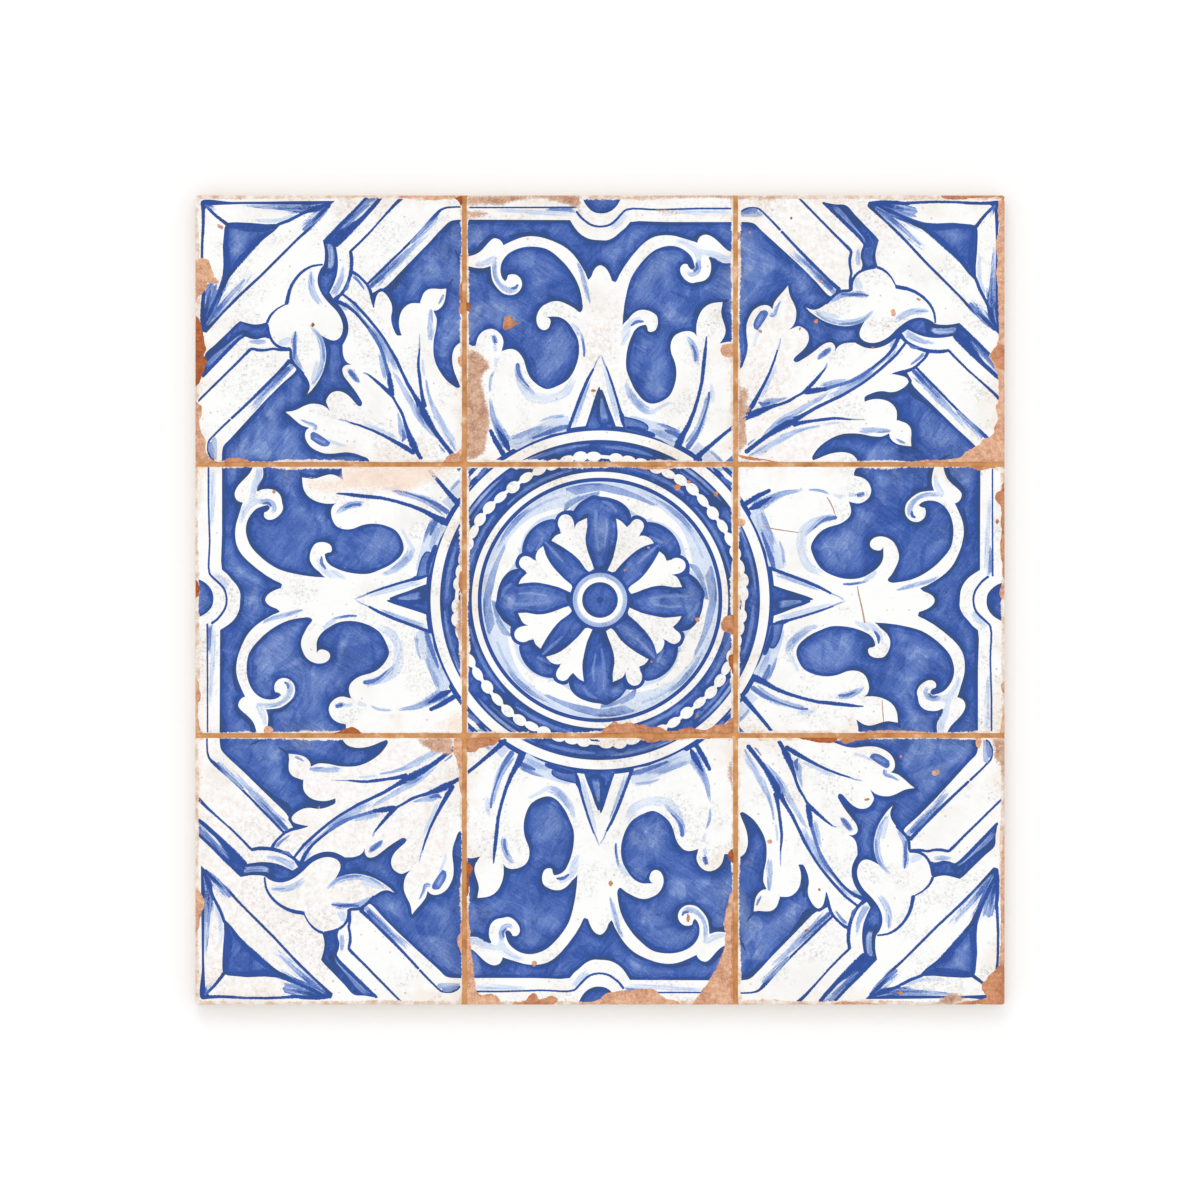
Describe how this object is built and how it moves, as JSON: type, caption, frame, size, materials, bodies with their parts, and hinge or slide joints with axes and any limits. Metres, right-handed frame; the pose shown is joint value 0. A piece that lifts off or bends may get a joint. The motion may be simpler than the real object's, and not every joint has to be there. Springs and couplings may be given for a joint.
{
  "type": "wall tile",
  "caption": "Square glazed ceramic wall tile with false joints pressed into its face, a painted blue and white rosette and scroll ornament, and a ribbed keying back.",
  "frame": {"origin": "middle of the back, in the plane of the ribs that the tile rests on", "axes": "+Z out of the glazed face, +Y up the face as hung, +X to the right as seen from the front"},
  "size_m": [0.33, 0.33, 0.0094],
  "materials": {
    "glazed_tile": "satin"
  },
  "bodies": {
    "root": {"wall_tile": "glazed_tile"}
  },
  "joints": []
}
